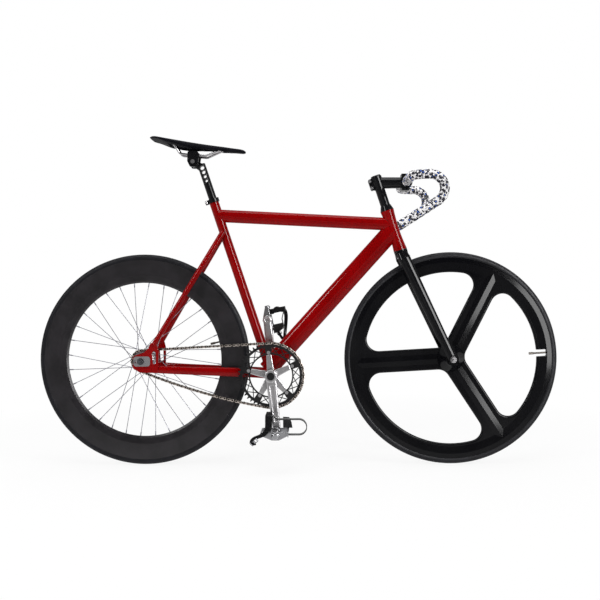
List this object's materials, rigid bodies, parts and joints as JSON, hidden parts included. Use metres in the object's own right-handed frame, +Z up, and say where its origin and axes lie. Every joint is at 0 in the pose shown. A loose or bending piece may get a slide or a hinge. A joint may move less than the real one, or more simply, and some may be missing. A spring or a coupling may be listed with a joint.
{
  "type": "fixed gear bicycle",
  "caption": "Track bicycle with a fixed rear cog, moulded front wheel, deep wire spoked rear wheel, drop bar with spotted tape and pedals with toe clips.",
  "frame": {"origin": "on the ground, midway between the two wheel centres", "axes": "+X forward, +Y to the rider's left, +Z up"},
  "size_m": [1.6359, 0.4388, 1.0336],
  "materials": {
    "frame_paint": "gloss",
    "black_paint": "gloss",
    "black_alloy": "satin",
    "moulded_wheel": "gloss",
    "dark_rim": "satin",
    "tyre": "matte",
    "silver_alloy": "polished",
    "steel": "satin",
    "chain_steel": "satin",
    "valve_brass": "satin",
    "spotted_tape": "matte",
    "plug": "gloss",
    "clip": "satin",
    "strap": "matte",
    "saddle_cover": "satin"
  },
  "bodies": {
    "frame": {"head_tube": "frame_paint", "top_tube": "frame_paint", "down_tube": "frame_paint", "seat_tube": "frame_paint", "bottom_bracket_shell": "frame_paint", "chain_stays": "frame_paint", "seat_stays": "frame_paint", "dropouts": "frame_paint", "dropout_facings": "steel", "seat_collar": "black_paint", "seat_collar_bolt": "steel", "headset_bearings": "steel", "bottom_bracket_cups": "black_alloy", "rear_axle": "steel", "chain_inner_links": "chain_steel", "chain_outer_links": "chain_steel"},
    "steering": {"fork_blades": "black_paint", "fork_crown": "black_paint", "steerer_tube": "steel", "headset_top_cover": "black_paint", "steerer_sleeve": "black_paint", "stem": "black_paint", "stem_faceplate": "black_paint", "stem_bolts": "steel", "stem_cap": "black_paint", "front_axle": "steel"},
    "handlebar": {"handlebar": "silver_alloy", "bar_tape": "spotted_tape", "bar_end_plugs": "plug"},
    "front_wheel": {"front_tyre": "tyre", "tri_spoke_wheel": "moulded_wheel", "front_valve": "valve_brass", "front_hub_bearings": "steel"},
    "rear_wheel": {"rear_tyre": "tyre", "rear_rim": "dark_rim", "rear_hub": "silver_alloy", "rear_spokes": "steel", "rear_hub_bearings": "steel", "rear_valve": "valve_brass", "rear_cog": "steel", "cog_lockring": "steel"},
    "crankset": {"crank_spindle": "steel", "right_crank_arm": "silver_alloy", "left_crank_arm": "silver_alloy", "chainring": "black_alloy", "chainring_bolts": "steel", "crank_caps": "black_alloy", "pedal_axles": "steel"},
    "right_pedal": {"right_pedal": "silver_alloy", "right_toe_clip": "clip", "right_toe_strap": "strap"},
    "left_pedal": {"left_pedal": "silver_alloy", "left_toe_clip": "clip", "left_toe_strap": "strap"},
    "seat_post": {"seat_post": "black_paint"},
    "saddle_clamp": {"saddle_clamp_jaws": "black_paint", "saddle_clamp_bolt": "steel"},
    "saddle": {"saddle_rails": "steel", "saddle": "saddle_cover"}
  },
  "joints": [
    {"name": "steering", "type": "hinge", "parent": "frame", "child": "steering", "pos_m": [0.32824, 0, 0.67648], "axis": [-0.3123, 0, 0.95], "range_deg": [-70, 70]},
    {"name": "handlebar_roll", "type": "hinge", "parent": "steering", "child": "handlebar", "pos_m": [0.3459, 0, 0.88738], "axis": [0, 1, 0], "range_deg": [-20, 20]},
    {"name": "front_wheel_spin", "type": "hinge", "parent": "steering", "child": "front_wheel", "pos_m": [0.484, 0, 0.334], "axis": [0, 1, 0], "continuous": true},
    {"name": "rear_wheel_spin", "type": "hinge", "parent": "frame", "child": "rear_wheel", "pos_m": [-0.484, 0, 0.334], "axis": [0, 1, 0], "continuous": true},
    {"name": "crank_spin", "type": "hinge", "parent": "frame", "child": "crankset", "pos_m": [-0.07991, 0, 0.286], "axis": [0, 1, 0], "continuous": true, "deforming": ["chain_inner_links", "chain_outer_links"]},
    {"name": "right_pedal_spin", "type": "hinge", "parent": "crankset", "child": "right_pedal", "pos_m": [-0.06214, -0.12, 0.11693], "axis": [0, 1, 0], "continuous": true},
    {"name": "left_pedal_spin", "type": "hinge", "parent": "crankset", "child": "left_pedal", "pos_m": [-0.09768, 0.12, 0.45507], "axis": [0, 1, 0], "continuous": true},
    {"name": "seat_post_slide", "type": "slide", "parent": "frame", "child": "seat_post", "axis": [-0.3123, 0, 0.95], "range_m": [-0.055, 0.035]},
    {"name": "saddle_tilt", "type": "hinge", "parent": "seat_post", "child": "saddle_clamp", "pos_m": [-0.32161, 0, 0.95708], "axis": [0, 1, 0], "range_deg": [-10, 10]},
    {"name": "saddle_slide", "type": "slide", "parent": "saddle_clamp", "child": "saddle", "axis": [0.9962, 0, -0.0872], "range_m": [-0.013, 0.013]}
  ],
  "couplings": [
    {"joint": "crank_spin", "follows": "rear_wheel_spin", "ratio": 0.32}
  ]
}
